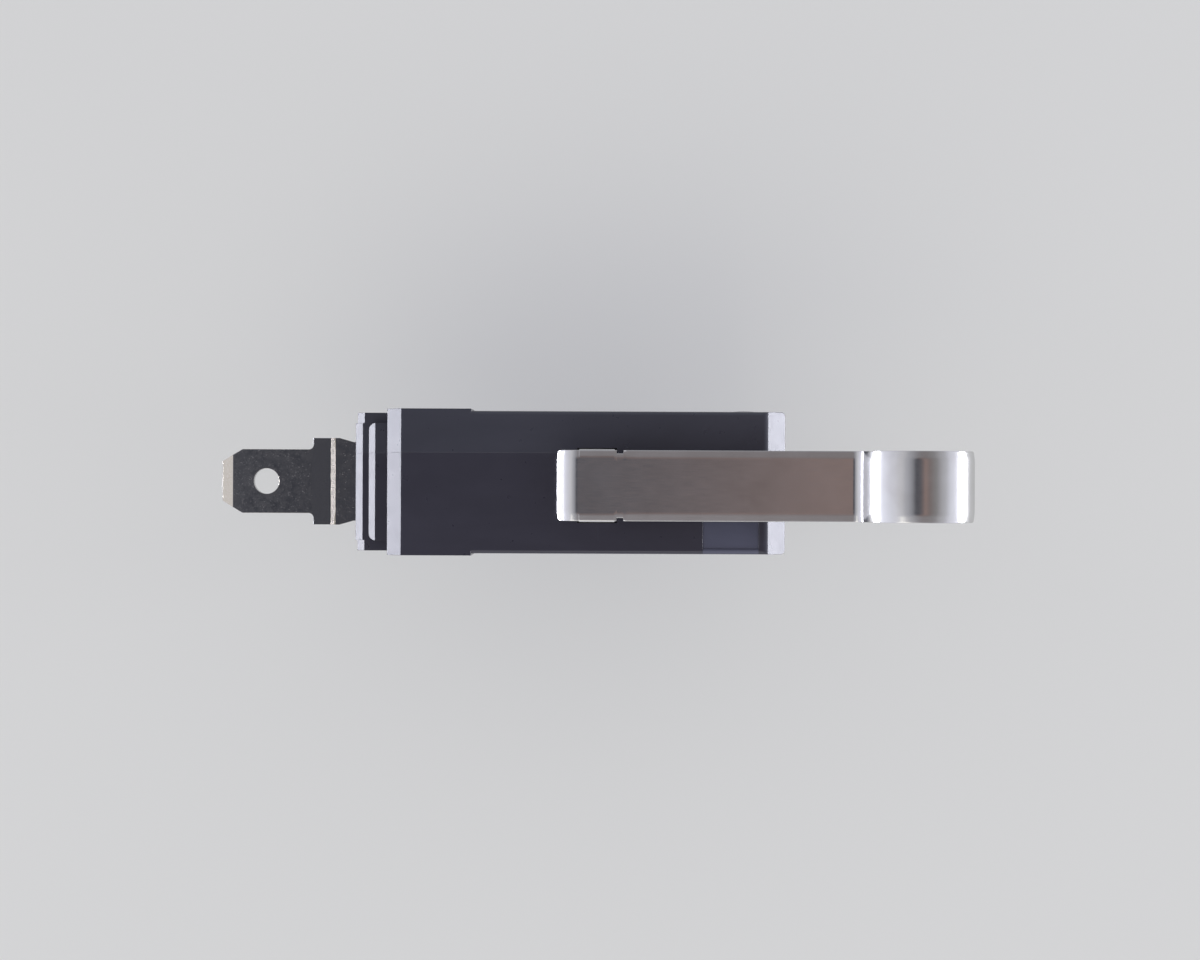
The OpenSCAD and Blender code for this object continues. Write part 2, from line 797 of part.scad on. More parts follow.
module com_terminal() {
    color([0.74, 0.72, 0.68])
        difference() {
            intersection() {
                across(-shoulder_w, shoulder_w)
                    com_profile();
                translate([0, 0, -body_h])
                    linear_extrude(2 * body_h)
                        com_plan();
            }
            translate([shoulder_x, 0, com_z - joggle])
                mirror([1, 0, 0])
                    tip_bevels();
            for (z = [arm_seat_z, push_seat_z])
                bar_y(seat_x, z, seat_r, -inner_w, inner_w);
        }
}

// Tab below the body with its shoulders, hanging from the floor at one place
module drop_tab(x) {
    translate([x, 0, -top_z - drop_root])
        rotate([0, 90, 0]) {
            difference() {
                translate([0, 0, -strip_t / 2])
                    linear_extrude(strip_t)
                        tab_outline();
                tip_bevels();
            }
            translate([-drop_root - wall, -shoulder_w / 2, -strip_t / 2])
                cube([drop_root + wall, shoulder_w, strip_t]);
        }
}

module no_terminal() {
    color([0.74, 0.72, 0.68]) {
        drop_tab(no_x);
        across(-inner_w / 2, inner_w / 2)
            bent_strip([[no_x, floor_z - wall / 2], [no_x, no_leg_z],
                [contact_x + contact_d / 2, no_leg_z]]);
    }
}

module nc_terminal() {
    color([0.74, 0.72, 0.68]) {
        drop_tab(nc_x);
        across(-inner_w / 2, inner_w / 2)
            bent_strip([[nc_x, floor_z - wall / 2], [nc_x, nc_leg_z], [riser_x, nc_leg_z],
                [riser_x, nc_top_z], [contact_x - contact_d / 2 - tilt_gap, nc_top_z]]);
    }
}

// Round contact button standing on a face, its edge chamfered at the far end
module contact_button() {
    edge = 0.12;
    rotate_extrude()
        polygon([[0, 0], [contact_d / 2, 0], [contact_d / 2, contact_h - edge],
            [contact_d / 2 - edge, contact_h], [0, contact_h]]);
}

module no_contact() {
    color([0.88, 0.88, 0.86])
        translate([contact_x, 0, no_leg_z + strip_t / 2])
            contact_button();
}

module nc_contact() {
    color([0.88, 0.88, 0.86])
        translate([contact_x, 0, nc_top_z - strip_t / 2])
            mirror([0, 0, 1])
                contact_button();
}

// The contact arm's own axes, tilted up at rest about its seat
module on_contact_arm() {
    translate([seat_x, 0, arm_seat_z])
        rotate([0, -arm_slope, 0])
            children();
}

module moving_contact() {
    shank_d = contact_d / 2;
    color([0.88, 0.88, 0.86])
        on_contact_arm()
            translate([arm_reach, 0, 0]) {
                cylinder(d = shank_d, h = arm_t, center = true);
                for (s = [0, 1])
                    mirror([0, 0, s])
                        translate([0, 0, arm_t / 2])
                            contact_button();
            }
}

module contact_arm() {
    nose = seat_r - touch_gap;
    color([0.78, 0.5, 0.3])
        on_contact_arm() {
            translate([0, 0, -arm_t / 2])
                linear_extrude(arm_t)
                    difference() {
                        union() {
                            rect(0, -arm_w / 2, arm_reach - contact_d / 2, arm_w / 2);
                            rect(0, -contact_d / 2, arm_reach, contact_d / 2);
                            translate([arm_reach, 0])
                                circle(contact_d / 2);
                        }
                        rect(window_x0, -window_w / 2, window_x1, window_w / 2);
                        translate([eye_x + eye_r, 0])
                            circle(d = eye_hole_d);
                        translate([arm_reach, 0])
                            circle(d = contact_d / 2 + fit_gap);
                    }
            bar_y(0, 0, nose, -arm_w / 2, arm_w / 2);
        }
}

module actuating_arm() {
    nose = seat_r - touch_gap;
    color([0.75, 0.75, 0.78])
        translate([seat_x, 0, push_seat_z])
            rotate([0, -push_slope, 0]) {
                translate([0, -push_w / 2, -push_t / 2])
                    cube([push_end, push_w, push_t]);
                bar_y(0, 0, nose, -push_w / 2, push_w / 2);
                translate([hook_in - hook_t / 2, -hook_w / 2, -seat_rise - hook_foot])
                    cube([hook_t, hook_w, seat_rise + hook_foot]);
            }
}

// Middle line of the spring's wire: a flat loop, the coil and an upright eye
function loop_line() = [for (a = [30 : 15 : 330]) [loop_x + loop_r * cos(a), loop_r * sin(a), 0]];
function coil_line() = [for (i = [0 : turns * turn_steps])
    let (a = 360 * i / turn_steps - 90)
    [coil_x0 + (coil_x1 - coil_x0) * i / (turns * turn_steps),
        coil_r * cos(a + 180), coil_r * sin(a + 180)]];
function eye_line() = [for (a = [150 : -20 : -150]) [eye_x + eye_r * cos(a), 0, eye_r * sin(a)]];

// Directions across a line, carried along it without twist
function unit(v) = v / norm(v);
function tangents(p) = [for (i = [0 : len(p) - 1]) unit(p[min(i + 1, len(p) - 1)] - p[max(i - 1, 0)])];
function carried(v, t) = unit(v - (v * t) * t);
function frames(t) = [for (i = 0, u = carried([0, 0.3, 1], t[0]); i < len(t);
    i = i + 1, u = i < len(t) ? carried(u, t[i]) : u) u];

// Round wire along a line
module wire(p) {
    t = tangents(p);
    u = frames(t);
    n = wire_sides;
    points = [for (i = [0 : len(p) - 1], k = [0 : n - 1])
        let (a = 360 * k / n)
        p[i] + wire_d / 2 * (cos(a) * u[i] + sin(a) * cross(t[i], u[i]))];
    sides = [for (i = [0 : len(p) - 2], k = [0 : n - 1])
        [i * n + k, i * n + (k + 1) % n, (i + 1) * n + (k + 1) % n, (i + 1) * n + k]];
    first = [for (k = [0 : n - 1]) n - 1 - k];
    final = [for (k = [0 : n - 1]) (len(p) - 1) * n + k];
    polyhedron(points, concat([first], sides, [final]), convexity = 10);
}

module tension_spring() {
    color([0.7, 0.7, 0.72])
        on_contact_arm()
            wire(concat(loop_line(), coil_line(), eye_line()));
}

case();
cover();
lever();
pivot_pin();
plunger();
com_terminal();
no_terminal();
nc_terminal();
no_contact();
nc_contact();
moving_contact();
contact_arm();
actuating_arm();
tension_spring();
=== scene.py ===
"""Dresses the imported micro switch: smooth formed metal, finishes, studio and camera."""

import logging
import math
from dataclasses import dataclass
from enum import Enum

import bpy
import numpy as np
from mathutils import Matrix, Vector


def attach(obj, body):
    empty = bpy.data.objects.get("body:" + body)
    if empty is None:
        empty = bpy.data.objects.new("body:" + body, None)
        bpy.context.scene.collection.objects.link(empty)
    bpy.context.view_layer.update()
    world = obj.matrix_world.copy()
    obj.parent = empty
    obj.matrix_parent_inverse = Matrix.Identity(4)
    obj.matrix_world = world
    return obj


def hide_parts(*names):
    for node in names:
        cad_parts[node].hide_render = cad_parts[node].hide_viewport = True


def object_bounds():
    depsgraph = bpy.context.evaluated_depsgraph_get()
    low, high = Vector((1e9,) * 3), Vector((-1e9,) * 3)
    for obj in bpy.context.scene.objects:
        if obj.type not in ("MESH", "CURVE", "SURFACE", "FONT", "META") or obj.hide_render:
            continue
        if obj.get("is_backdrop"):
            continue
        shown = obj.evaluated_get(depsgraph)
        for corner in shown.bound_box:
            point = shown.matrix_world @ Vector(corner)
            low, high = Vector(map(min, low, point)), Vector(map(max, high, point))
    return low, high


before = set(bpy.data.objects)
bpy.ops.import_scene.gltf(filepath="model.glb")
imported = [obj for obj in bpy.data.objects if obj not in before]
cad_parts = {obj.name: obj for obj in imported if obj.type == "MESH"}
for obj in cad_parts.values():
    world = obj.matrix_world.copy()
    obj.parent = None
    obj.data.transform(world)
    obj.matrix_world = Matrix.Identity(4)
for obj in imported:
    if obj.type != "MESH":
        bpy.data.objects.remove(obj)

LOG = logging.getLogger("micro_switch")
MM = 0.001
UM = 0.000001
FRAME_PX = (1200, 960)

Socket = bpy.types.NodeSocket
Pair = tuple[float, float]
Triple = tuple[float, float, float]
SkyStops = tuple[tuple[float, Triple], ...]


class Body(Enum):
    """The groups of the frame that new pieces ride on."""

    HOUSING = "housing"
    LEVER = "lever"


class Lay(Enum):
    """The direction in which a metal strip was rolled or a wire drawn."""

    ALONG_X = (0.04, 1.0, 1.0)
    ALONG_Y = (1.0, 0.04, 1.0)
    ALONG_Z = (1.0, 1.0, 0.04)


BEVEL_SAMPLES = 8
EDGE_COSINES = (1.0, 0.8)
BOX_BORDER = (1.0, 0.98)
NOISE_SPAN = (0.3, 0.7)


class Shader:
    """A node tree round one Principled BSDF, with the few nodes that the finishes share."""

    def __init__(self, name: str) -> None:
        """Makes an empty material.

        Args:
            name: the material's name.
        """
        self.material = bpy.data.materials.new(name)
        self.material.use_nodes = True
        self.tree = self.material.node_tree
        self.tree.nodes.clear()
        output = self.tree.nodes.new("ShaderNodeOutputMaterial")
        self.bsdf = self.tree.nodes.new("ShaderNodeBsdfPrincipled")
        self.link(self.bsdf.outputs["BSDF"], output.inputs["Surface"])
        self.coords = self.tree.nodes.new("ShaderNodeTexCoord").outputs["Object"]

    def link(self, source: Socket, target: Socket) -> None:
        """Joins two sockets."""
        self.tree.links.new(source, target)

    def set(self, **values: object) -> None:
        """Sets constants on the shader's own sockets.

        Args:
            values: socket names, with _ for a space, and their values.
        """
        for name, value in values.items():
            self.bsdf.inputs[name.replace("_", " ")].default_value = value

    def stretched(self, scale: Triple) -> Socket:
        """Object coordinates stretched along the axes.

        Args:
            scale: factor along each axis; a small one draws the pattern out.

        Returns:
            The vector socket.
        """
        node = self.tree.nodes.new("ShaderNodeMapping")
        node.inputs["Scale"].default_value = scale
        self.link(self.coords, node.inputs["Vector"])
        return node.outputs["Vector"]

    def noise(self, cell_mm: float, detail: float, vector: Socket | None = None,
              distortion: float = 0.0) -> Socket:
        """Fractal noise.

        Args:
            cell_mm: size of one patch, in millimetres.
            detail: number of finer layers.
            vector: coordinates, or none for plain object coordinates.
            distortion: how much the pattern is swirled.

        Returns:
            The factor socket.
        """
        node = self.tree.nodes.new("ShaderNodeTexNoise")
        node.inputs["Scale"].default_value = 1.0 / (cell_mm * MM)
        node.inputs["Detail"].default_value = detail
        node.inputs["Distortion"].default_value = distortion
        self.link(vector or self.coords, node.inputs["Vector"])
        return node.outputs["Fac"]

    def ramp(self, source: Socket, low: float, high: float,
             first: tuple[float, ...], second: tuple[float, ...]) -> Socket:
        """Colour that changes from one to another as a factor goes from low to high.

        Args:
            source: the factor.
            low: factor at which the first colour ends.
            high: factor at which the second colour starts.
            first: colour below low, three numbers.
            second: colour above high, three numbers.

        Returns:
            The colour socket.
        """
        node = self.tree.nodes.new("ShaderNodeValToRGB")
        node.color_ramp.elements[0].position = low
        node.color_ramp.elements[0].color = (*first, 1.0)
        node.color_ramp.elements[1].position = high
        node.color_ramp.elements[1].color = (*second, 1.0)
        self.link(source, node.inputs["Fac"])
        return node.outputs["Color"]

    def span(self, source: Socket, low: float, high: float,
             first: float, second: float) -> Socket:
        """Number that goes from first to second as a factor goes from low to high.

        Args:
            source: the factor.
            low: factor that gives first.
            high: factor that gives second.
            first: value at low.
            second: value at high.

        Returns:
            The value socket.
        """
        node = self.tree.nodes.new("ShaderNodeMapRange")
        limits = {"From Min": low, "From Max": high, "To Min": first, "To Max": second}
        for name, value in limits.items():
            node.inputs[name].default_value = value
        self.link(source, node.inputs["Value"])
        return node.outputs["Result"]

    def mix(self, factor: Socket, first: Socket,
            second: Socket) -> Socket:
        """Blends two colours by a factor.

        Args:
            factor: 0 for the first colour, 1 for the second.
            first: colour socket.
            second: colour socket.

        Returns:
            The colour socket.
        """
        node = self.tree.nodes.new("ShaderNodeMix")
        node.data_type = "RGBA"
        self.link(factor, node.inputs["Factor"])
        self.link(first, node.inputs["A"])
        self.link(second, node.inputs["B"])
        return node.outputs["Result"]

    def add(self, first: Socket, second: Socket) -> Socket:
        """Sum of two numbers.

        Args:
            first: value socket.
            second: value socket.

        Returns:
            The value socket.
        """
        node = self.tree.nodes.new("ShaderNodeMath")
        self.link(first, node.inputs[0])
        self.link(second, node.inputs[1])
        return node.outputs[0]

    def towards(self, factor: Socket, first: Socket,
                value: float) -> Socket:
        """Number that moves from a socket's to a fixed one.

        Args:
            factor: 0 for the socket's number, 1 for the fixed one.
            first: value socket.
            value: the fixed number.

        Returns:
            The value socket.
        """
        node = self.tree.nodes.new("ShaderNodeMix")
        self.link(factor, node.inputs["Factor"])
        self.link(first, node.inputs["A"])
        node.inputs["B"].default_value = value
        return node.outputs["Result"]

    def eased(self, radius_mm: float) -> Socket:
        """Normal with its sharp edges rounded.

        Args:
            radius_mm: radius of the rounding, in millimetres.

        Returns:
            The normal socket.
        """
        node = self.tree.nodes.new("ShaderNodeBevel")
        node.samples = BEVEL_SAMPLES
        node.inputs["Radius"].default_value = radius_mm * MM
        return node.outputs["Normal"]

    def edges(self, radius_mm: float) -> Socket:
        """Mask of edges: one less the cosine between the eased and the true normal.

        Args:
            radius_mm: reach of the mask from an edge, in millimetres.

        Returns:
            A factor that is 0 on faces and grows towards edges.
        """
        geometry = self.tree.nodes.new("ShaderNodeNewGeometry")
        dot = self.tree.nodes.new("ShaderNodeVectorMath")
        dot.operation = "DOT_PRODUCT"
        self.link(self.eased(radius_mm), dot.inputs[0])
        self.link(geometry.outputs["Normal"], dot.inputs[1])
        return self.span(dot.outputs["Value"], *EDGE_COSINES, 0.0, 1.0)

    def inside(self, low_mm: Triple, high_mm: Triple) -> Socket:
        """Mask of a box: 1 where no coordinate is further from its middle than half its side.

        Args:
            low_mm: lowest corner, in millimetres.
            high_mm: highest corner, in millimetres.

        Returns:
            The factor socket.
        """
        half = (np.array(high_mm) - np.array(low_mm)) / 2
        centred = self.tree.nodes.new("ShaderNodeMapping")
        centred.inputs["Scale"].default_value = tuple(1 / (half * MM))
        centred.inputs["Location"].default_value = tuple(-(np.array(low_mm) + half) / half)
        self.link(self.coords, centred.inputs["Vector"])
        size = self.tree.nodes.new("ShaderNodeVectorMath")
        size.operation = "ABSOLUTE"
        self.link(centred.outputs["Vector"], size.inputs[0])
        split = self.tree.nodes.new("ShaderNodeSeparateXYZ")
        self.link(size.outputs["Vector"], split.inputs[0])
        longest = split.outputs["X"]
        for axis in "YZ":
            node = self.tree.nodes.new("ShaderNodeMath")
            node.operation = "MAXIMUM"
            self.link(longest, node.inputs[0])
            self.link(split.outputs[axis], node.inputs[1])
            longest = node.outputs[0]
        return self.span(longest, *BOX_BORDER, 0.0, 1.0)

    def bump(self, height: Socket, depth_um: float,
             normal: Socket | None = None) -> Socket:
        """Normal shaped by a height.

        Args:
            height: factor from 0 to 1.
            depth_um: depth of the pattern, in micrometres.
            normal: normal to start from.

        Returns:
            The normal socket.
        """
        node = self.tree.nodes.new("ShaderNodeBump")
        node.inputs["Strength"].default_value = 1.0
        node.inputs["Distance"].default_value = depth_um * UM
        self.link(height, node.inputs["Height"])
        if normal is not None:
            self.link(normal, node.inputs["Normal"])
        return node.outputs["Normal"]


@dataclass(frozen=True)
class Patch:
    """A box in which a finish differs: its lowest and highest corner, two tones and a roughness."""

    low: Triple
    high: Triple
    first: Triple
    second: Triple
    roughness: float


@dataclass(frozen=True)
class MouldedPlastic:
    """Satin moulded plastic: flow marks, a fine eroded grain and edges rubbed a little paler."""

    name: str
    dark: Triple
    pale: Triple
    rubbed: Triple
    smooth: float = 0.273
    rough: float = 0.297
    grain_mm: float = 0.05
    grain_um: float = 0.3
    patch_mm: float = 3.2
    edge_mm: float = 0.035
    flow_scale: Triple = (0.35, 1.0, 1.0)
    flow_swirl: float = 0.6
    flow_span: Pair = (0.35, 0.7)
    wear_span: Pair = (0.3, 0.8)
    index: float = 1.52
    patches: tuple[Patch, ...] = ()

    def material(self) -> bpy.types.Material:
        """Builds the material.

        Returns:
            The new material.
        """
        s = Shader(self.name)
        flow = s.noise(self.patch_mm, 4.0, s.stretched(self.flow_scale), self.flow_swirl)
        body = s.ramp(flow, *self.flow_span, self.dark, self.pale)
        worn = s.ramp(flow, *self.wear_span, self.pale, self.rubbed)
        body = s.mix(s.edges(self.edge_mm), body, worn)
        gloss = s.noise(self.patch_mm / 4, 5.0)
        rough = s.span(gloss, *NOISE_SPAN, self.smooth, self.rough)
        # Boxes with a tone and roughness of their own; on the case this is the painted reflection
        # on the sunken pad.
        for patch in self.patches:
            mask = s.inside(patch.low, patch.high)
            tone = s.ramp(flow, *NOISE_SPAN, patch.first, patch.second)
            body = s.mix(mask, body, tone)
            rough = s.towards(mask, rough, patch.roughness)
        s.link(body, s.bsdf.inputs["Base Color"])
        s.link(rough, s.bsdf.inputs["Roughness"])
        grain = s.bump(s.noise(self.grain_mm, 2.0), self.grain_um, s.eased(self.edge_mm))
        s.link(grain, s.bsdf.inputs["Normal"])
        s.set(IOR=self.index)
        return s.material


@dataclass(frozen=True)
class RolledMetal:
    """Bright rolled or drawn metal: fine lines along the lay and faint stains in patches."""

    name: str
    clean: Triple
    stained: Triple
    lay: Lay
    smooth: float = 0.16
    rough: float = 0.24
    line_mm: float = 0.05
    line_um: float = 0.08
    patch_mm: float = 2.2
    edge_mm: float = 0.05
    stain_swirl: float = 0.4
    stain_span: Pair = (0.3, 0.72)

    def material(self) -> bpy.types.Material:
        """Builds the material.

        Returns:
            The new material.
        """
        s = Shader(self.name)
        along = s.stretched(self.lay.value)
        lines = s.noise(self.line_mm, 2.0, along)
        stains = s.noise(self.patch_mm, 5.0, None, self.stain_swirl)
        tone = s.ramp(stains, *self.stain_span, self.clean, self.stained)
        rough = s.span(lines, *NOISE_SPAN, self.smooth, self.rough)
        s.link(tone, s.bsdf.inputs["Base Color"])
        s.link(rough, s.bsdf.inputs["Roughness"])
        s.link(s.bump(lines, self.line_um, s.eased(self.edge_mm)), s.bsdf.inputs["Normal"])
        s.set(Metallic=1.0)
        return s.material


@dataclass(frozen=True)
class TinnedStrip:
    """Tin-plated strip: a mottled matt plating with dull specks, thin over the edges."""

    name: str
    bright: Triple
    dull: Triple
    base: Triple
    smooth: float = 0.1
    rough: float = 0.2
    mottle_mm: float = 0.45
    speck_mm: float = 0.1
    mottle_um: float = 0.2
    edge_mm: float = 0.03
    speck_rough: float = 0.12
    detail: float = 3.0
    mottle_swirl: float = 0.8
    mottle_span: Pair = (0.36, 0.66)
    speck_span: Pair = (0.6, 0.72)
    speck_share: float = 0.7
    spot_span: Pair = (0.58, 0.7)
    patches: tuple[Patch, ...] = ()

    def material(self) -> bpy.types.Material:
        """Builds the material.

        Returns:
            The new material.
        """
        s = Shader(self.name)
        mottle = s.noise(self.mottle_mm, 5.0, None, self.mottle_swirl)
        specks = s.noise(self.speck_mm, self.detail)
        plating = s.ramp(mottle, *self.mottle_span, self.bright, self.dull)
        other = s.ramp(mottle, *NOISE_SPAN, self.dull, self.bright)
        dots = s.span(specks, *self.speck_span, 0.0, self.speck_share)
        edge = s.ramp(specks, *NOISE_SPAN, self.base, self.bright)
        plated = s.mix(s.edges(self.edge_mm), s.mix(dots, plating, other), edge)
        spots = s.span(specks, *self.spot_span, 0.0, self.speck_rough)
        rough = s.add(s.span(mottle, *NOISE_SPAN, self.smooth, self.rough), spots)
        for patch in self.patches:
            mask = s.inside(patch.low, patch.high)
            tone = s.ramp(specks, *NOISE_SPAN, patch.first, patch.second)
            plated = s.mix(mask, plated, tone)
            rough = s.towards(mask, rough, patch.roughness)
        s.link(plated, s.bsdf.inputs["Base Color"])
        s.link(rough, s.bsdf.inputs["Roughness"])
        s.link(s.bump(mottle, self.mottle_um, s.eased(self.edge_mm)), s.bsdf.inputs["Normal"])
        s.set(Metallic=1.0)
        return s.material


@dataclass(frozen=True)
class Paper:
    """Pale matt sheet under the object, lifted where the camera or a reflection sees it."""

    name: str
    light: Triple
    shade: Triple
    lift: float
    lift_tint: Triple
    patch_mm: float = 60.0
    matt: float = 0.9

    def material(self) -> bpy.types.Material:
        """Builds the material.

        Returns:
            The new material.
        """
        s = Shader(self.name)
        tone = s.ramp(s.noise(self.patch_mm, 2.0), *NOISE_SPAN, self.light, self.shade)
        s.link(tone, s.bsdf.inputs["Base Color"])
        s.set(Roughness=self.matt, Specular_IOR_Level=0.0, Emission_Color=(*self.lift_tint, 1.0))
        path = s.tree.nodes.new("ShaderNodeLightPath")
        seen = path.outputs["Is Camera Ray"]
        for ray in ("Is Glossy Ray", "Is Transmission Ray"):
            node = s.tree.nodes.new("ShaderNodeMath")
            node.operation = "MAXIMUM"
            s.link(seen, node.inputs[0])
            s.link(path.outputs[ray], node.inputs[1])
            seen = node.outputs[0]
        s.link(s.span(seen, 0.0, 1.0, 0.0, self.lift), s.bsdf.inputs["Emission Strength"])
        return s.material


# Painted reflection: the case's sunken pad and the rim beside it get a paler, bluer tone that
# stands in for the extra sky the pad reflects.
RECESS_PAINTED_REFLECTION = Patch((8.1, -4.92, 7.75), (12.0, -2.7, 7.97),
                    (0.074, 0.079, 0.12), (0.09, 0.095, 0.142), 0.4)
CASE_PLASTIC = MouldedPlastic(
    "case_plastic", (0.031, 0.0305, 0.045), (0.038, 0.0375, 0.054), (0.06, 0.061, 0.08),
    patches=(RECESS_PAINTED_REFLECTION,))
COVER_PLASTIC = MouldedPlastic(
    "cover_plastic", (0.041, 0.043, 0.058), (0.049, 0.051, 0.068), (0.068, 0.071, 0.09))
PLUNGER_PLASTIC = MouldedPlastic(
    "plunger_plastic", (0.03, 0.028, 0.03), (0.045, 0.042, 0.045), (0.07, 0.07, 0.07))
LEVER_STEEL = RolledMetal(
    "lever_steel", (0.63, 0.63, 0.63), (0.575, 0.57, 0.565), Lay.ALONG_X, 0.14, 0.21, edge_mm=0.015)
PIN_STEEL = RolledMetal("pin_steel", (0.62, 0.62, 0.63), (0.55, 0.55, 0.55), Lay.ALONG_Y)
ARM_STEEL = RolledMetal("arm_steel", (0.6, 0.6, 0.61), (0.52, 0.52, 0.53), Lay.ALONG_X)
SPRING_STEEL = RolledMetal("spring_steel", (0.58, 0.58, 0.6), (0.5, 0.5, 0.51), Lay.ALONG_X)
ARM_COPPER = RolledMetal("arm_copper", (0.72, 0.42, 0.26), (0.6, 0.33, 0.2), Lay.ALONG_X)
CONTACT_SILVER = RolledMetal(
    "contact_silver", (0.86, 0.85, 0.83), (0.72, 0.7, 0.67), Lay.ALONG_Z, 0.12, 0.25)
RUBBED_TIN = ((0.62, 0.58, 0.51), (0.7, 0.66, 0.6), 0.1)
CREASED_TIN = ((0.35, 0.325, 0.28), (0.38, 0.35, 0.31), 0.1)
PRESSED_TIN = ((0.43, 0.432, 0.438), (0.39, 0.393, 0.4), 0.15)
TERMINAL_METAL = TinnedStrip(
    "terminal_metal", (0.425, 0.426, 0.43), (0.335, 0.338, 0.346), (0.66, 0.58, 0.44),
    patches=(Patch((-27.3, -3.0, -4.0), (-26.4, 3.0, -1.0), *RUBBED_TIN),
             Patch((-20.5, -3.3, -4.0), (-19.1, 3.3, -1.5), *PRESSED_TIN),
             Patch((-19.1, -3.3, -4.0), (-18.68, 3.3, -1.5), *CREASED_TIN),
             Patch((-5.0, -3.0, -16.1), (12.0, 3.0, -15.15), *RUBBED_TIN)))
FLOOR_PAPER = Paper(
    "floor_paper", (0.555, 0.558, 0.503), (0.545, 0.548, 0.493), 0.206, (0.97, 0.98, 1.11))


@dataclass
class Surface:
    """A computed surface: places in millimetres, quads and the faces that close its ends."""

    points: np.ndarray
    quads: np.ndarray
    ends: list[list[int]]

    def piece(self, name: str, body: Body, material: bpy.types.Material) -> bpy.types.Object:
        """Puts the surface into the scene as a smooth piece.

        Args:
            name: name of the piece.
            body: the group that it moves with.
            material: its finish.

        Returns:
            The new object, at the origin.
        """
        mesh = bpy.data.meshes.new(name)
        mesh.from_pydata((self.points * MM).tolist(), [], self.quads.tolist() + self.ends)
        mesh.polygons.foreach_set("use_smooth", np.ones(len(mesh.polygons), bool))
        mesh.materials.append(material)
        mesh.update()
        piece = bpy.data.objects.new(name, mesh)
        bpy.context.scene.collection.objects.link(piece)
        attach(piece, body.value)
        LOG.info("%s: %d faces, rides on %s", name, len(mesh.polygons), body.value)
        return piece


def tube(rings: np.ndarray) -> Surface:
    """Closed tube through rings of points, with one face over each end.

    Quad (i, k) joins point k and its neighbour in ring i to the same two points in ring i + 1.

    Args:
        rings: array of ring, point and coordinate; each ring runs against the clock seen
            from the far end.

    Returns:
        The surface.
    """
    count, around = rings.shape[:2]
    i, k = np.meshgrid(np.arange(count - 1), np.arange(around), indexing="ij")
    a, b = i * around + k, i * around + (k + 1) % around
    quads = np.stack([a, b, b + around, a + around], axis=-1).reshape(-1, 4)
    last = (count - 1) * around
    ends = [np.arange(around - 1, -1, -1).tolist(), np.arange(last, last + around).tolist()]
    return Surface(rings.reshape(-1, 3), quads, ends)


def turned(centre: Triple, profile: np.ndarray, sides: int = 48) -> Surface:
    """Turned form about a line along Y.

    The point at profile row i and angle a lies at the centre plus height_i along Y and
    radius_i times (sin a, cos a) in X and Z.

    Args:
        centre: a place on the line, in millimetres.
        profile: rows of radius and height, with rising heights.
        sides: points round the form.

    Returns:
        The surface.
    """
    angle = np.linspace(0, 2 * np.pi, sides, endpoint=False)
    radius, height = profile[:, :1], profile[:, 1:]
    x, z = radius * np.sin(angle), radius * np.cos(angle)
    return tube(np.stack([x, height + 0 * angle, z], axis=-1) + np.array(centre))


# Counts of stations along the lever and of steps round its section.
LINE_STEPS = 40001
RUN_STATIONS = (6, 40, 40, 30, 4, 90)
END_STATIONS = 14
EAR_STATIONS = 49
CORNER_STEPS = 7
SIDE_STEPS = 5
FLAT_STEPS = 9
CROWN_STEPS = 8

# Places round the inner foot of an ear, in radii of its corner.
FOOT_ACROSS = np.array([0.05, 0.3, 1.0])
FOOT_UP = np.array([0.7, 0.3, 0.0])
FOOT_TOP = 1.6


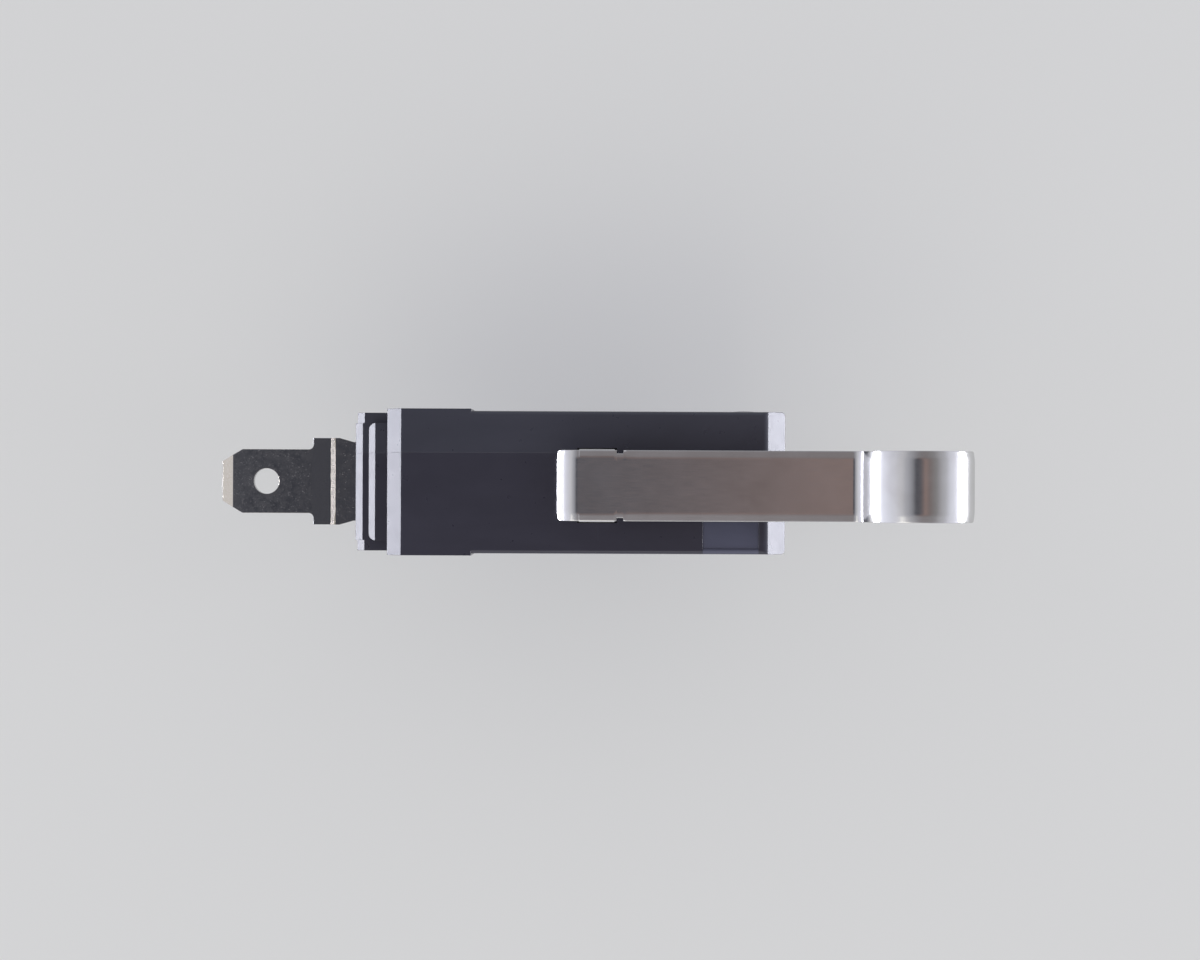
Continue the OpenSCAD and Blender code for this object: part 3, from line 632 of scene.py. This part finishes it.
@dataclass
class Lever:
    """Formed steel lever: a strip with a bent heel, flat, dip and hump, two ears and a pin."""

    width: float = 4.85
    thickness: float = 0.5
    corner_r: float = 0.025
    bend_r: float = 0.12
    roll_w: float = 0.62
    roll_drop: float = 0.074
    roll_in: float = 0.3
    roll_reach: float = 1.2
    tip_r: float = 0.4
    tip_thin: float = 0.16
    middle_y: float = -0.2
    pivot: Pair = (0.75, 8.55)
    heel: Pair = (-0.54, 10.1)
    heel_r: float = 1.35
    heel_turn: float = 38.0
    tail_l: float = 0.7
    flat_l: float = 18.74
    dip_r: float = 1.05
    flank_l: float = 0.25
    hump_r: float = 4.0
    hump_slope: float = 61.0
    ear_r: float = 1.2
    ear_proud: float = 0.07
    ear_guard: float = 0.05
    ear_lap: float = 0.1
    notch: Pair = (2.1, 2.55)
    notch_depth: float = 0.225
    cut_run: float = 0.02
    bend_guard: float = 0.04
    pin_r: float = 0.6
    pin_proud: float = 0.06
    pin_crown: float = 0.05
    pin_rim: float = 0.12
    pin_pole: float = 0.02

    def line(self) -> tuple[np.ndarray, np.ndarray, np.ndarray, np.ndarray]:
        """Middle line of the strip, from the tail's end to the hump's end.

        The direction turns at a constant rate in each bend, so the place is the running sum of
        the direction's cosine and sine over the length. Stations lie closer in the bends, at the
        ends, at the notches and round the ears, where they follow the cosine of an angle.

        Returns:
            Length along the strip, places in X and Z, the direction in radians, and the X that each
            station would have if the strip were all flat.
        """
        down, slope = math.radians(self.heel_turn), math.radians(self.hump_slope)
        lengths = np.array([self.tail_l, self.heel_r * down, self.flat_l, self.dip_r * slope,
                            self.flank_l, self.hump_r * 2 * slope])
        marks = np.concatenate([[0.0], np.cumsum(lengths)])
        heading = np.array([down, down, 0.0, 0.0, slope, slope, -slope])
        fine = np.linspace(0.0, marks[-1], LINE_STEPS)
        angle = np.interp(fine, marks, heading)
        step = fine[1]
        middle = angle[:-1] + np.diff(angle) / 2
        x = np.concatenate([[0.0], np.cumsum(np.cos(middle))]) * step
        z = np.concatenate([[0.0], np.cumsum(np.sin(middle))]) * step
        x += self.heel[0] - np.interp(marks[2], fine, x)
        z += self.heel[1] - np.interp(marks[2], fine, z)
        sides = np.array([[-1.0], [1.0]])
        ends = self.tip_r * (1 - np.cos(np.linspace(0, np.pi / 2, END_STATIONS)))
        start = marks[2] - self.heel[0]
        middle_ear = start + self.pivot[0]
        cuts = start + np.array(self.notch) + self.cut_run * np.array([[-1.0], [0.0], [1.0]])
        round_ear = middle_ear - self.ear_r * np.cos(np.linspace(0, np.pi, EAR_STATIONS))
        by_ear = middle_ear + (self.ear_r + np.array([self.cut_run, self.ear_guard])) * sides
        guards = marks + self.bend_guard * sides
        runs = [np.linspace(marks[i], marks[i + 1], n) for i, n in enumerate(RUN_STATIONS)]
        stations = np.concatenate([ends, marks[-1] - ends, cuts.ravel(), round_ear, by_ear.ravel(),
                                   guards.ravel(), *runs])
        stations = np.unique(np.clip(stations, 0.0, marks[-1]).round(3))
        place = np.stack([np.interp(stations, fine, x), np.interp(stations, fine, z)], axis=-1)
        return stations, place, np.interp(stations, fine, angle), stations - start

    def rolled(self, inset: np.ndarray) -> np.ndarray:
        """Share of the fall at a distance in from a long edge.

        With q running from 0 to 1 over the last roll_w, the share grows as q squared up to
        roll_in and then evenly.

        Args:
            inset: distance from the edge.

        Returns:
            The share, from 0 on the flat to 1 at the edge.
        """
        q = np.clip(1 - inset / self.roll_w, 0.0, 1.0)
        bent = self.roll_in
        return np.where(q < bent, q * q / (2 * bent), q - bent / 2) / (1 - bent / 2)

    def section(self, half: np.ndarray, reach: np.ndarray, cut: np.ndarray, ear: np.ndarray,
                low: np.ndarray) -> tuple[np.ndarray, np.ndarray]:
        """Closed outline of the section at each station.

        The top falls towards each long edge by roll_drop. A quarter circle follows, of corner_r,
        or of bend_r where the edge is bent down into an ear, then the outer side down to low and
        back along the inside.

        Args:
            half: half the thickness.
            reach: half the width before the notches are cut.
            cut: depth of a notch.
            ear: 1 where the edges are bent down, 0 elsewhere.
            low: lowest level of an ear.

        Returns:
            Places across and through, one row for each station.
        """
        h, w, e = half[:, None], (reach - cut)[:, None], ear[:, None]
        low = e * low[:, None] - (1 - e) * h
        scale = h / (self.thickness / 2)
        corner = self.corner_r * scale
        bend = corner + e * (self.bend_r - corner)
        fall = self.roll_drop * scale
        turn = np.linspace(0.0, np.pi / 2, CORNER_STEPS)
        foot = np.array([-np.pi / 2, -np.pi / 4])
        rise = np.linspace(0.0, 1.0, SIDE_STEPS)
        back = np.linspace(0.0, 1.0, FLAT_STEPS)
        inset = bend + back[1:] * (self.roll_reach * self.roll_w - bend)
        deep = fall * self.rolled(cut[:, None])
        side_t = low + corner + rise * (h - bend - deep - low - corner)
        top_w = np.hstack([w - bend * (1 - np.cos(turn[1:])), w - inset])
        top_t = np.hstack([h - bend * (1 - np.sin(turn[1:])), h + 0 * inset])
        top_t = top_t - fall * self.rolled(reach[:, None] - top_w)
        outer_w = np.hstack([w - corner * (1 - np.cos(foot)), w + 0 * side_t, top_w])
        outer_t = np.hstack([low + corner * (1 + np.sin(foot)), side_t, top_t])
        lap, wall = self.ear_lap, w - self.thickness
        flat_w = wall - lap + back * (self.thickness + lap - FOOT_TOP * corner)
        ear_w = np.hstack([wall - lap, wall + 0 * rise, wall + corner * FOOT_ACROSS])
        ear_t = np.hstack([-h, -h + rise * (low + FOOT_TOP * corner + h), low + corner * FOOT_UP])
        inner_w = (1 - e) * flat_w + e * ear_w
        inner_t = e * ear_t - (1 - e) * h
        across = np.hstack([outer_w, -outer_w[:, ::-1], -inner_w[:, ::-1], inner_w])
        through = np.hstack([outer_t, outer_t[:, ::-1], inner_t[:, ::-1], inner_t])
        return across, through

    def shell(self) -> Surface:
        """The whole lever: its section carried along the middle line.

        Near an end the half width and half thickness shrink along a quarter circle of the
        distance left. Round the pin an ear's lower edge is a half circle.

        Returns:
            The surface.
        """
        s, place, angle, flat_x = self.line()
        left = np.minimum(s, s[-1] - s)

        def eased(half: float, radius: float) -> np.ndarray:
            """Half size that follows a quarter circle down to an end.

            Args:
                half: half size away from the ends.
                radius: radius of the quarter circle.

            Returns:
                The half size at each station.
            """
            gap = np.clip(radius - left, 0.0, radius)
            return half - radius + np.sqrt(np.clip(radius * radius - gap * gap, 0.0, None))

        off = np.abs(flat_x - self.pivot[0])
        ear = np.interp(off, [self.ear_r, self.ear_r + self.cut_run], [1.0, 0.0])
        low = self.pivot[1] - place[:, 1] - np.sqrt(np.clip(self.ear_r ** 2 - off ** 2, 0.0, None))
        first, last = self.notch
        cut = np.interp(flat_x, [first - self.cut_run, first, last, last + self.cut_run],
                        [0.0, 1.0, 1.0, 0.0])
        reach = eased(self.width / 2, self.tip_r) + ear * self.ear_proud
        half = eased(self.thickness / 2, self.tip_thin)
        across, through = self.section(half, reach, cut * self.notch_depth, ear, low)
        line = np.stack([place[:, 0], np.full(len(s), self.middle_y), place[:, 1]], axis=-1)
        normal = np.stack([-np.sin(angle), 0 * angle, np.cos(angle)], axis=-1)
        aside = across[..., None] * np.array([0.0, 1.0, 0.0])
        return tube(line[:, None] + aside + through[..., None] * normal[:, None])

    def pin(self) -> Surface:
        """Pivot pin with crowned ends: each end is a shallow cap with a rounded rim.

        Returns:
            The surface.
        """
        half = self.width / 2 + self.ear_proud + self.pin_proud
        turn = np.linspace(0, np.pi / 2, CROWN_STEPS)
        flat_r = self.pin_r - self.pin_rim
        crown_r = self.pin_pole + (flat_r - self.pin_pole) * np.sin(turn)
        crown = np.stack([crown_r, half - self.pin_crown * (1 - np.cos(turn))], axis=-1)
        rim_y = half - self.pin_crown - self.pin_rim * (1 - np.cos(turn))
        rim = np.stack([flat_r + self.pin_rim * np.sin(turn), rim_y], axis=-1)
        upper = np.vstack([crown, rim[1:]])[::-1]
        lower = np.stack([upper[:, 0], -upper[:, 1]], axis=-1)[::-1]
        return turned((self.pivot[0], self.middle_y, self.pivot[1]), np.vstack([lower, upper]))

    def build(self) -> None:
        """Makes lever and pin, which take the places of their solids."""
        lever = self.shell().piece("formed_lever", Body.LEVER, LEVER_STEEL.material())
        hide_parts("lever")
        pin = self.pin().piece("crowned_pin", Body.HOUSING, PIN_STEEL.material())
        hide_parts("pivot_pin")


@dataclass
class CoverRivets:
    """Heads of the two posts, formed over the cover into shallow domes with a punch mark."""

    places: tuple[Pair, ...] = ((11.1, 5.15), (-11.1, -5.15))
    face_y: float = 4.95
    radius: float = 1.1
    rise: float = 0.12
    dimple_r: float = 0.42
    dimple: float = 0.05
    foot: float = 0.1
    pole_angle: float = 0.02
    steps: int = 28

    def head(self, place: Pair) -> Surface:
        """One head: a quarter ellipse from the rim up to the crown, less a smooth round dimple.

        Args:
            place: X and Z of the post.

        Returns:
            The surface.
        """
        r = self.radius * np.sin(np.linspace(np.pi / 2, self.pole_angle, self.steps))
        height = self.rise * np.sqrt(1 - (r / self.radius) ** 2)
        height = height - self.dimple * np.clip(1 - (r / self.dimple_r) ** 2, 0.0, 1.0) ** 2
        profile = np.stack([r, height], axis=-1)
        foot = np.array([[self.radius, -self.foot]])
        return turned((place[0], self.face_y, place[1]), np.vstack([foot, profile]))

    def build(self) -> None:
        """Makes both heads."""
        material = CASE_PLASTIC.material()
        for number, place in enumerate(self.places, 1):
            head = self.head(place).piece(f"rivet_head_{number}", Body.HOUSING, material)


@dataclass(frozen=True)
class Panel:
    """A soft lamp that faces the object: its middle and size in metres, brightness and tint."""

    name: str
    place: Triple
    size: Pair
    radiance: float
    colour: Triple

    def build(self) -> None:
        """Adds the lamp, whose power is the brightness of its face times pi and its area."""
        data = bpy.data.lights.new(self.name, "AREA")
        data.shape = "RECTANGLE"
        data.size, data.size_y = self.size
        data.energy = self.radiance * math.pi * self.size[0] * self.size[1]
        data.color = self.colour
        lamp = bpy.data.objects.new(self.name, data)
        lamp.location = self.place
        lamp.rotation_euler = (-Vector(self.place)).to_track_quat("-Z", "Y").to_euler()
        bpy.context.scene.collection.objects.link(lamp)


COOL = (0.89, 0.9, 1.0)
WARM = (1.0, 0.97, 0.84)
PANELS = (
    Panel("left_panel", (-0.48, 0.0, 0.01675), (0.33, 0.063), 28.3, COOL),
    Panel("right_panel", (0.48, 0.0, 0.0355), (0.21, 0.093), 26.0, COOL),
    Panel("key_panel", (-0.15, -0.45, 0.5), (0.7, 0.4), 0.8, WARM),
)

# The sky's colours by the angle from overhead, in degrees.
LEFT_SKY: SkyStops = (
    (0, (0.12, 0.128, 0.152)), (10, (0.064, 0.067, 0.085)), (14, (0.34, 0.345, 0.38)),
    (25, (0.56, 0.565, 0.62)), (37, (0.82, 0.815, 0.86)), (52, (0.93, 0.935, 1.03)),
    (70, (1.07, 1.08, 1.22)), (90, (1.07, 1.08, 1.22)))
RIGHT_SKY: SkyStops = (
    (0, (0.12, 0.128, 0.152)), (4, (0.19, 0.165, 0.172)), (8, (0.41, 0.29, 0.262)),
    (16, (0.26, 0.21, 0.205)), (26, (0.3, 0.285, 0.29)), (45, (0.6, 0.6, 0.64)),
    (60, (0.97, 0.98, 1.09)), (75, (1.08, 1.09, 1.23)), (90, (1.04, 1.05, 1.19)))
LEAST_FLAT = 1e-4


@dataclass
class Studio:
    """Floor, light and camera."""

    floor_z: float
    floor_radius: float = 1.6
    camera_place: Triple = (0.962, 0.181, 148.0)
    camera_roll: float = 0.24
    focal_px: float = 2018.5
    sensor_mm: float = 36.0
    front_gain: float = 0.13
    across_dim: float = 0.45
    clip: Pair = (0.005, 20.0)

    def floor(self) -> None:
        """Makes the sheet under the object: a flat disc of rings about the origin."""
        turns, steps = 48, 6
        around = np.linspace(0, 2 * np.pi, turns, endpoint=False)
        a, r = np.meshgrid(around, self.floor_radius * np.linspace(0, 1, steps)[1:])
        edge = np.stack([r * np.cos(a), r * np.sin(a), 0 * a], axis=-1).reshape(-1, 3)
        points = np.vstack([edge, np.zeros(3)])
        points[:, 2] = self.floor_z * MM
        i, k = np.meshgrid(np.arange(steps - 2), np.arange(turns), indexing="ij")
        near, far, following = i * turns, (i + 1) * turns, (k + 1) % turns
        quads = np.stack([near + k, far + k, far + following, near + following], axis=-1)
        rim = np.arange(turns)
        fan = np.stack([np.full(turns, len(edge)), rim, (rim + 1) % turns], axis=-1)
        mesh = bpy.data.meshes.new("floor")
        mesh.from_pydata(points.tolist(), [], fan.tolist() + quads.reshape(-1, 4).tolist())
        mesh.materials.append(FLOOR_PAPER.material())
        sheet = bpy.data.objects.new("floor", mesh)
        bpy.context.scene.collection.objects.link(sheet)
        sheet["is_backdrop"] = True

    def dome(self) -> None:
        """Makes the sky, dark overhead and bright low down.

        The colour is a ramp of the angle from overhead, one for the left and one for the right,
        mixed by the direction's share of X in the plane. It is dimmer across, by the square of
        the direction's Y, and a little stronger towards the front.
        """
        world = bpy.data.worlds.new("studio")
        bpy.context.scene.world = world
        world.use_nodes = True
        nodes, links = world.node_tree.nodes, world.node_tree.links

        def math_node(operation: str, first: object, second: object = 0.0) -> Socket:
            """Adds a Math node.

            Args:
                operation: what the node works out.
                first: socket or number.
                second: socket or number.

            Returns:
                The value socket.
            """
            node = nodes.new("ShaderNodeMath")
            node.operation = operation
            for socket, value in zip(node.inputs, (first, second)):
                if isinstance(value, Socket):
                    links.new(value, socket)
                else:
                    socket.default_value = value
            return node.outputs[0]

        def sky(stops: SkyStops, share: Socket) -> Socket:
            """Adds a ramp of colours.

            Args:
                stops: angles from overhead in degrees, with their colours.
                share: the angle's share of a right angle.

            Returns:
                The colour socket.
            """
            ramp = nodes.new("ShaderNodeValToRGB")
            ramp.color_ramp.interpolation = "EASE"
            while len(ramp.color_ramp.elements) < len(stops):
                ramp.color_ramp.elements.new(0.5)
            for element, (angle, colour) in zip(ramp.color_ramp.elements, stops):
                element.position = angle / 90
                element.color = (*colour, 1.0)
            links.new(share, ramp.inputs["Fac"])
            return ramp.outputs["Color"]

        split = nodes.new("ShaderNodeSeparateXYZ")
        links.new(nodes.new("ShaderNodeTexCoord").outputs["Generated"], split.inputs[0])
        x, y, z = (split.outputs[axis] for axis in "XYZ")
        share = math_node("DIVIDE", math_node("ARCCOSINE", z), math.pi / 2)
        across = math_node("MULTIPLY", y, y)
        flat = math_node("SQRT", math_node("ADD", math_node("MULTIPLY", x, x), across))
        side = math_node("DIVIDE", x, math_node("MAXIMUM", flat, LEAST_FLAT))
        mix = nodes.new("ShaderNodeMix")
        mix.data_type = "RGBA"
        right = math_node("ADD", math_node("MULTIPLY", side, 0.5), 0.5)
        links.new(right, mix.inputs["Factor"])
        links.new(sky(LEFT_SKY, share), mix.inputs["A"])
        links.new(sky(RIGHT_SKY, share), mix.inputs["B"])
        back = nodes["Background"]
        links.new(mix.outputs["Result"], back.inputs["Color"])
        front = math_node("MULTIPLY", y, self.front_gain)
        loss = math_node("ADD", front, math_node("MULTIPLY", across, self.across_dim))
        links.new(math_node("SUBTRACT", 1.0, loss), back.inputs["Strength"])

    def camera(self) -> None:
        """Places the camera straight above, turned a little about its own axis."""
        data = bpy.data.cameras.new("camera")
        data.sensor_width = self.sensor_mm
        data.lens = self.focal_px / FRAME_PX[0] * self.sensor_mm
        data.clip_start, data.clip_end = self.clip
        camera = bpy.data.objects.new("camera", data)
        camera.location = Vector(self.camera_place) * MM
        camera.rotation_euler = (0.0, 0.0, math.radians(self.camera_roll))
        bpy.context.scene.collection.objects.link(camera)
        bpy.context.scene.camera = camera

    def build(self) -> None:
        """Makes the whole studio."""
        self.floor()
        for panel in PANELS:
            panel.build()
        self.dome()
        self.camera()
        bpy.context.scene.view_settings.view_transform = "Standard"


@dataclass(frozen=True)
class Dressing:
    """A finish for CAD nodes that keep their own shape."""

    nodes: tuple[str, ...]
    finish: MouldedPlastic | RolledMetal | TinnedStrip

    def apply(self) -> None:
        """Gives each node the finish."""
        material = self.finish.material()
        for name in self.nodes:
            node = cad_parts[name]
            node.data.materials.clear()
            node.data.materials.append(material)
            LOG.info("%s: %s", name, material.name)


DRESSINGS = (
    Dressing(("case",), CASE_PLASTIC),
    Dressing(("cover",), COVER_PLASTIC),
    Dressing(("plunger",), PLUNGER_PLASTIC),
    Dressing(("com_terminal", "no_terminal", "nc_terminal"), TERMINAL_METAL),
    Dressing(("no_contact", "nc_contact", "moving_contact"), CONTACT_SILVER),
    Dressing(("contact_arm",), ARM_COPPER),
    Dressing(("actuating_arm",), ARM_STEEL),
    Dressing(("tension_spring",), SPRING_STEEL),
)


def main() -> None:
    """Builds every piece, the studio and the camera."""
    logging.basicConfig(level=logging.INFO, format="%(name)s %(message)s")
    cad_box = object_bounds()
    for dressing in DRESSINGS:
        dressing.apply()
    Lever().build()
    CoverRivets().build()
    Studio(floor_z=cad_box[0].z / MM).build()
    bpy.context.view_layer.update()


if __name__ == "__main__":
    main()
